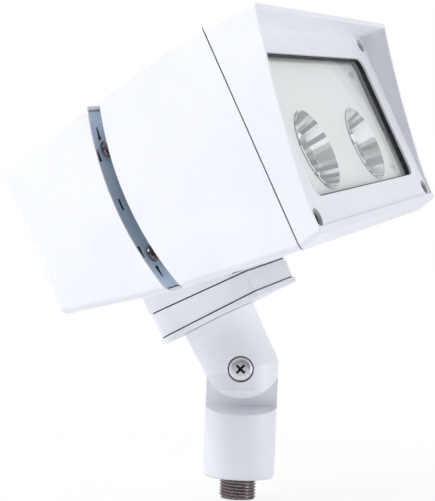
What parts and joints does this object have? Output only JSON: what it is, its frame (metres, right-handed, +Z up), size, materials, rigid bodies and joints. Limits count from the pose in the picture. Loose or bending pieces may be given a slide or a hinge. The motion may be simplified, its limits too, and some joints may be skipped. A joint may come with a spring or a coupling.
{
  "type": "LED floodlight",
  "caption": "Box-shaped LED floodlight with a visor hood, faceted reflectors behind glass and a separate driver compartment, on a tilting and swivelling threaded knuckle.",
  "frame": {"origin": "on the knuckle axis, at the shoulder where the threaded nipple meets the cup", "axes": "+Z up along the nipple's axis, the lamp shines towards -Y, +X to the lamp's left seen from its front"},
  "size_m": [0.2681, 0.2393, 0.294],
  "materials": {
    "white_paint": "smooth powder coat",
    "dark_steel": "blackened thread",
    "plated_steel": "zinc plated",
    "seal_rubber": "silicone",
    "gasket_rubber": "silicone",
    "blue_grey_paint": "smooth powder coat",
    "driver_case": "plain sheet",
    "black_plastic": "moulded",
    "beige_plastic": "moulded",
    "green_screw": "green zinc",
    "plain_aluminium": "machined",
    "led_phosphor": "silicone phosphor",
    "white_plastic": "moulded",
    "reflector_metal": "bright faceted",
    "tray_white": "matt white",
    "clear_glass": "tempered flat",
    "black_screw": "black oxide"
  },
  "bodies": {
    "knuckle": {"knuckle_base": "white_paint", "threaded_nipple": "dark_steel", "tilt_screw": "plated_steel", "tilt_lock_washer": "plated_steel", "tilt_nut": "plated_steel", "lap_o_ring": "seal_rubber"},
    "arm": {"swivel_arm": "white_paint", "swivel_stub": "plated_steel", "swivel_o_ring": "seal_rubber", "stub_washer": "plated_steel", "stub_locknut": "plated_steel"},
    "head": {"base_plate": "white_paint", "base_plate_gasket": "gasket_rubber", "base_plate_screws": "plated_steel", "swivel_base": "white_paint", "swivel_base_gasket": "gasket_rubber", "swivel_base_screws": "plated_steel", "driver_housing": "white_paint", "driver_cover": "blue_grey_paint", "driver_cover_gasket": "gasket_rubber", "driver_cover_screws": "plated_steel", "driver_module": "driver_case", "driver_module_screws": "plated_steel", "surge_module": "black_plastic", "terminal_block": "beige_plastic", "ground_screw": "green_screw", "led_housing": "white_paint", "bridge_gasket": "gasket_rubber", "bridge_bolts": "plated_steel", "heat_spreader": "plain_aluminium", "led_array_left": "led_phosphor", "led_array_right": "led_phosphor", "led_holder_left": "white_plastic", "led_holder_right": "white_plastic", "led_holder_screws": "plated_steel", "reflector_left": "reflector_metal", "reflector_right": "reflector_metal", "reflector_tray": "tray_white", "reflector_tray_screws": "plated_steel", "glass_lens": "clear_glass", "lens_gasket": "gasket_rubber", "lens_clips": "plated_steel", "lens_clip_screws": "plated_steel", "door_frame": "white_paint", "door_gasket": "gasket_rubber", "door_screws": "black_screw"}
  },
  "joints": [
    {"name": "knuckle_tilt", "type": "hinge", "parent": "knuckle", "child": "arm", "pos_m": [0, 0, 0.0637], "axis": [1, 0, 0], "range_deg": [-41.5, 98.5]},
    {"name": "head_swivel", "type": "hinge", "parent": "arm", "child": "head", "pos_m": [0, 0.01837, 0.09753], "axis": [0, 0.4772, 0.8788], "range_deg": [-148.5, 191.5]}
  ]
}
